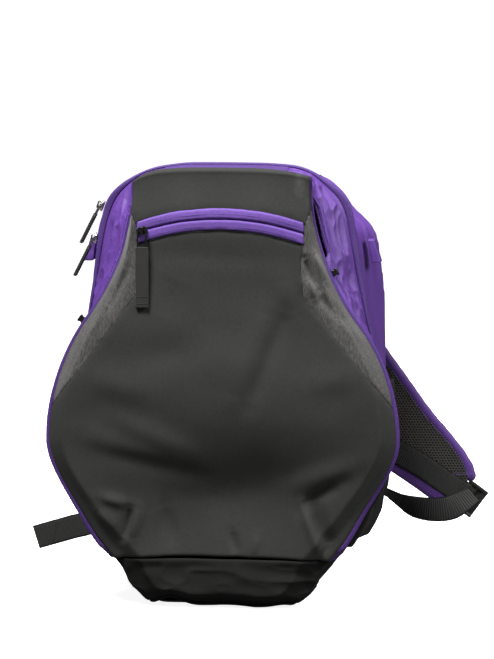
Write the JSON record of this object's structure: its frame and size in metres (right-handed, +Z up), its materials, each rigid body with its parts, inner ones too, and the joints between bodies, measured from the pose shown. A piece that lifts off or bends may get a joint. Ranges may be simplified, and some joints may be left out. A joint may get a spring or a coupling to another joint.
{
  "type": "racket backpack",
  "caption": "Teardrop-front sports backpack with an arched front pocket, gusset zips, a hinged front cover, side pockets and padded shoulder straps.",
  "frame": {"origin": "middle of the flat base that the backpack stands on", "axes": "+X to the right as seen from the front, +Y towards the back panel and straps, +Z up"},
  "size_m": [0.4904, 0.2029, 0.441],
  "materials": {
    "charcoal_polyester": "matte twill weave",
    "heather_polyester": "streaky melange weave",
    "purple_nylon": "soft sheen plain weave",
    "purple_welt": "matte plain weave",
    "black_polyester": "matte plain weave",
    "spacer_mesh": "open mesh with round holes",
    "black_webbing": "ribbed webbing",
    "dark_lining": "plain lining",
    "stiffener_board": "matte board",
    "zip_coil": "satin coil",
    "black_acetal": "satin moulded",
    "black_metal": "satin paint",
    "nickel": "polished"
  },
  "bodies": {
    "pack_body": {"back_panel": "black_polyester", "base_panel": "black_polyester", "base_stiffener": "stiffener_board", "boot_panel": "black_polyester", "top_panel": "purple_welt", "left_side_panel": "purple_nylon", "right_side_panel": "purple_nylon", "left_side_pocket": "black_polyester", "right_side_pocket": "black_polyester", "left_back_pad": "spacer_mesh", "right_back_pad": "spacer_mesh", "lumbar_pad": "spacer_mesh", "main_zip_coil": "zip_coil", "main_zip_back_tape": "purple_welt", "left_side_tab": "purple_nylon", "right_side_tab": "purple_nylon", "strap_yoke": "black_polyester", "left_anchor_tab": "black_webbing", "right_anchor_tab": "black_webbing"},
    "front_cover": {"yoke_panel": "charcoal_polyester", "front_panel": "charcoal_polyester", "left_heather_panel": "heather_polyester", "right_heather_panel": "heather_polyester", "pocket_zip_coil": "zip_coil", "pocket_zip_welts": "purple_welt", "pocket_lining": "dark_lining", "top_gusset": "purple_welt", "left_gusset": "purple_nylon", "right_gusset": "purple_nylon", "left_gusset_zip_tapes": "purple_welt", "right_gusset_zip_tapes": "purple_welt", "divider_panel": "dark_lining", "front_piping": "purple_welt", "main_zip_front_tape": "purple_welt"},
    "pocket_runner": {"pocket_slider": "black_metal"},
    "pocket_pull": {"pocket_pull_link": "black_metal", "pocket_pull_tab": "black_webbing"},
    "upper_runner": {"main_slider_upper": "nickel"},
    "upper_pull": {"main_link_upper": "nickel", "main_pull_upper": "black_webbing"},
    "lower_runner": {"main_slider_lower": "nickel"},
    "lower_pull": {"main_link_lower": "nickel", "main_pull_lower": "black_webbing"},
    "left_gusset_runner": {"left_gusset_slider": "black_metal"},
    "right_gusset_runner": {"right_gusset_slider": "black_metal"},
    "haul": {"haul_loop": "black_webbing"},
    "left_strap": {"left_strap_mesh": "spacer_mesh", "left_strap_pad": "black_polyester", "left_strap_binding": "purple_welt", "left_lock_loop": "black_webbing", "left_lower_webbing": "black_webbing", "left_webbing_tail": "black_webbing"},
    "left_lock": {"left_ladder_lock": "black_acetal"},
    "right_strap": {"right_strap_mesh": "spacer_mesh", "right_strap_pad": "black_polyester", "right_strap_binding": "purple_welt", "right_lock_loop": "black_webbing", "right_lower_webbing": "black_webbing", "right_webbing_tail": "black_webbing"},
    "right_lock": {"right_ladder_lock": "black_acetal"}
  },
  "joints": [
    {"name": "cover_open", "type": "hinge", "parent": "pack_body", "child": "front_cover", "pos_m": [0, -0.0925, 0.049], "axis": [1, 0, 0], "range_deg": [0, 70]},
    {"name": "pocket_slide", "type": "hinge", "parent": "front_cover", "child": "pocket_runner", "pos_m": [0, -0.092, 0.1205], "axis": [0, 1, 0], "range_deg": [0, 33.2]},
    {"name": "pocket_pull_swing", "type": "hinge", "parent": "pocket_runner", "child": "pocket_pull", "pos_m": [-0.07656, -0.0963, 0.37733], "axis": [1, 0, 0], "range_deg": [-100, 0]},
    {"name": "upper_slide", "type": "hinge", "parent": "pack_body", "child": "upper_runner", "pos_m": [-0.06, -0.026, 0.373], "axis": [0, 1, 0], "range_deg": [0, 62]},
    {"name": "upper_pull_swing", "type": "hinge", "parent": "upper_runner", "child": "upper_pull", "pos_m": [-0.1285, -0.026, 0.39793], "axis": [0, 1, 0], "range_deg": [0, 95]},
    {"name": "lower_slide", "type": "slide", "parent": "pack_body", "child": "lower_runner", "axis": [-0.1461, 0, -0.9893], "range_m": [0, 0.075]},
    {"name": "lower_pull_swing", "type": "hinge", "parent": "lower_runner", "child": "lower_pull", "pos_m": [-0.13503, -0.026, 0.36501], "axis": [0, 1, 0], "range_deg": [0, 16]},
    {"name": "left_gusset_slide", "type": "hinge", "parent": "front_cover", "child": "left_gusset_runner", "pos_m": [-0.3315, -0.0733, 0.432], "axis": [0, 1, 0], "range_deg": [-31, 0]},
    {"name": "right_gusset_slide", "type": "hinge", "parent": "front_cover", "child": "right_gusset_runner", "pos_m": [0.3315, -0.0733, 0.432], "axis": [0, 1, 0], "range_deg": [-14, 20]},
    {"name": "haul_swing", "type": "hinge", "parent": "pack_body", "child": "haul", "pos_m": [0, 0.0896, 0.411], "axis": [1, 0, 0], "range_deg": [0, 90]},
    {"name": "left_strap_swing", "type": "hinge", "parent": "pack_body", "child": "left_strap", "pos_m": [-0.048, 0.0908, 0.4105], "axis": [1, 0, 0], "range_deg": [0, 20]},
    {"name": "right_strap_swing", "type": "hinge", "parent": "pack_body", "child": "right_strap", "pos_m": [0.048, 0.0908, 0.4105], "axis": [1, 0, 0], "range_deg": [0, 20]},
    {"name": "left_lock_tilt", "type": "hinge", "parent": "left_strap", "child": "left_lock", "pos_m": [-0.115, 0.095, 0.097], "axis": [0.65, 0, -0.76], "range_deg": [-6, 25]},
    {"name": "right_lock_tilt", "type": "hinge", "parent": "right_strap", "child": "right_lock", "pos_m": [0.233, 0.095, 0.092], "axis": [0.5861, 0, 0.8102], "range_deg": [-6, 25]}
  ]
}
